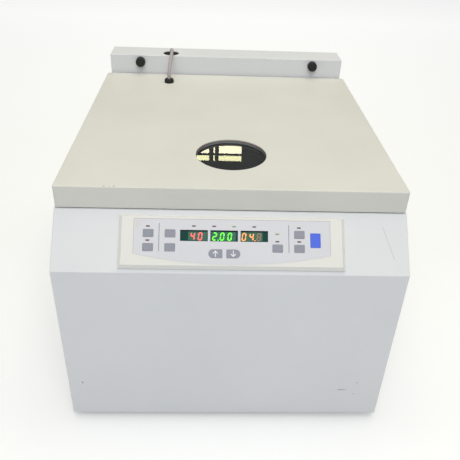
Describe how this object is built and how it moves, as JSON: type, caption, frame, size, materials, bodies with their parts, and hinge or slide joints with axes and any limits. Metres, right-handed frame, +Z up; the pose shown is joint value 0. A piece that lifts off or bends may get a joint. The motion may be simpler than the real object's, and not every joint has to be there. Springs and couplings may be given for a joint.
{
  "type": "vacuum concentrator",
  "caption": "Bench vacuum concentrator with a hinged windowed lid over a rotor chamber, a sloping key panel with displays and a raised rear console.",
  "frame": {"origin": "on the bench under the middle of the whole, its rear outlet included", "axes": "+X to the right seen from the front, +Y to the back, +Z up"},
  "size_m": [0.43, 0.554, 0.3887],
  "materials": {
    "case_paint": "fine textured powder coat, satin",
    "lid_paint": "fine textured powder coat, satin",
    "zinc_sheet": "zinc plated, satin",
    "black_rubber": "matt",
    "steel": "satin",
    "dark_screw": "satin",
    "bezel_plastic": "moulded, matt",
    "overlay_film": "fine textured film",
    "tinted_lens": "tinted, glossy",
    "module_black": "matt",
    "lamp_lens": "tinted, glossy",
    "board_green": "solder mask",
    "coated_aluminium": "hard anodised",
    "seal_rubber": "matt",
    "heater_silicone": "matt",
    "foam": "foam, matt",
    "outlet_plastic": "matt",
    "black_plastic": "matt",
    "window_glass": "polished",
    "lead_jacket": "satin cable jacket",
    "rotor_aluminium": "anodised, satin",
    "key_grey": "fine textured film",
    "key_blue": "fine textured film",
    "magnet_steel": "plated"
  },
  "bodies": {
    "housing": {"base_pan": "zinc_sheet", "rubber_feet": "black_rubber", "housing_shell": "case_paint", "rear_panel": "case_paint", "rear_screws": "dark_screw", "top_deck": "case_paint", "rear_console": "case_paint", "lid_bumpers": "black_rubber", "hinge_brackets": "steel", "hinge_pins": "steel", "control_bezel": "bezel_plastic", "membrane_overlay": "overlay_film", "display_lenses": "tinted_lens", "display_modules": "module_black", "indicator_lamps": "lamp_lens", "control_board": "board_green", "chamber_pan": "coated_aluminium", "chamber_gasket": "seal_rubber", "heater_band": "heater_silicone", "insulation_jacket": "foam", "spindle_post": "steel", "spindle_bearings": "steel", "vacuum_port": "outlet_plastic", "motor_housing": "steel", "motor_mount": "steel", "power_supply": "board_green", "fan_frame": "black_plastic", "power_inlet": "black_plastic"},
    "lid": {"lid_cover": "lid_paint", "lid_plate": "coated_aluminium", "lid_spacers": "steel", "lid_heater": "heater_silicone", "window_glass": "window_glass", "window_ring": "coated_aluminium", "hinge_leaves": "steel", "lead_bushing": "black_rubber", "lid_lead": "lead_jacket"},
    "rotor": {"rotor_hub": "rotor_aluminium", "rotor_lower_plate": "rotor_aluminium", "rotor_upper_plate": "rotor_aluminium", "rotor_posts": "rotor_aluminium", "rotor_knob": "black_plastic", "driven_magnet": "magnet_steel"},
    "drive": {"motor_shaft": "steel", "drive_magnet": "magnet_steel"},
    "fan": {"fan_impeller": "black_plastic"},
    "rocker": {"power_rocker": "black_plastic"},
    "key_outer_left_top": {"key_outer_left_top": "key_grey"},
    "key_outer_left_low": {"key_outer_left_low": "key_grey"},
    "key_inner_left_top": {"key_inner_left_top": "key_grey"},
    "key_inner_left_low": {"key_inner_left_low": "key_grey"},
    "key_inner_right": {"key_inner_right": "key_grey"},
    "key_outer_right_top": {"key_outer_right_top": "key_grey"},
    "key_outer_right_low": {"key_outer_right_low": "key_grey"},
    "key_stop": {"key_stop": "key_blue"},
    "key_up": {"key_up": "key_grey"},
    "key_down": {"key_down": "key_grey"}
  },
  "joints": [
    {"name": "lid_hinge", "type": "hinge", "parent": "housing", "child": "lid", "pos_m": [0, 0.187, 0.3375], "axis": [-1, 0, 0], "range_deg": [0, 94], "deforming": ["lid_lead"]},
    {"name": "rotor_spin", "type": "hinge", "parent": "housing", "child": "rotor", "pos_m": [0, -0.009, 0.199], "axis": [0, 0, 1], "continuous": true},
    {"name": "drive_spin", "type": "hinge", "parent": "housing", "child": "drive", "pos_m": [0, -0.009, 0.145], "axis": [0, 0, 1], "continuous": true},
    {"name": "fan_spin", "type": "hinge", "parent": "housing", "child": "fan", "pos_m": [-0.12, 0.243, 0.1], "axis": [0, 1, 0], "continuous": true},
    {"name": "rocker_tilt", "type": "hinge", "parent": "housing", "child": "rocker", "pos_m": [0.125, 0.256, 0.1155], "axis": [-1, 0, 0], "range_deg": [0, 16]},
    {"name": "key_outer_left_top_press", "type": "slide", "parent": "housing", "child": "key_outer_left_top", "axis": [0, 0.7201, -0.6939], "range_m": [0, 0.0005], "stiffness_N_per_m": 300},
    {"name": "key_outer_left_low_press", "type": "slide", "parent": "housing", "child": "key_outer_left_low", "axis": [0, 0.7201, -0.6939], "range_m": [0, 0.0005], "stiffness_N_per_m": 300},
    {"name": "key_inner_left_top_press", "type": "slide", "parent": "housing", "child": "key_inner_left_top", "axis": [0, 0.7201, -0.6939], "range_m": [0, 0.0005], "stiffness_N_per_m": 300},
    {"name": "key_inner_left_low_press", "type": "slide", "parent": "housing", "child": "key_inner_left_low", "axis": [0, 0.7201, -0.6939], "range_m": [0, 0.0005], "stiffness_N_per_m": 300},
    {"name": "key_inner_right_press", "type": "slide", "parent": "housing", "child": "key_inner_right", "axis": [0, 0.7201, -0.6939], "range_m": [0, 0.0005], "stiffness_N_per_m": 300},
    {"name": "key_outer_right_top_press", "type": "slide", "parent": "housing", "child": "key_outer_right_top", "axis": [0, 0.7201, -0.6939], "range_m": [0, 0.0005], "stiffness_N_per_m": 300},
    {"name": "key_outer_right_low_press", "type": "slide", "parent": "housing", "child": "key_outer_right_low", "axis": [0, 0.7201, -0.6939], "range_m": [0, 0.0005], "stiffness_N_per_m": 300},
    {"name": "key_stop_press", "type": "slide", "parent": "housing", "child": "key_stop", "axis": [0, 0.7201, -0.6939], "range_m": [0, 0.0005], "stiffness_N_per_m": 300},
    {"name": "key_up_press", "type": "slide", "parent": "housing", "child": "key_up", "axis": [0, 0.7201, -0.6939], "range_m": [0, 0.0005], "stiffness_N_per_m": 300},
    {"name": "key_down_press", "type": "slide", "parent": "housing", "child": "key_down", "axis": [0, 0.7201, -0.6939], "range_m": [0, 0.0005], "stiffness_N_per_m": 300}
  ],
  "couplings": [
    {"joint": "drive_spin", "follows": "rotor_spin", "ratio": 1}
  ]
}
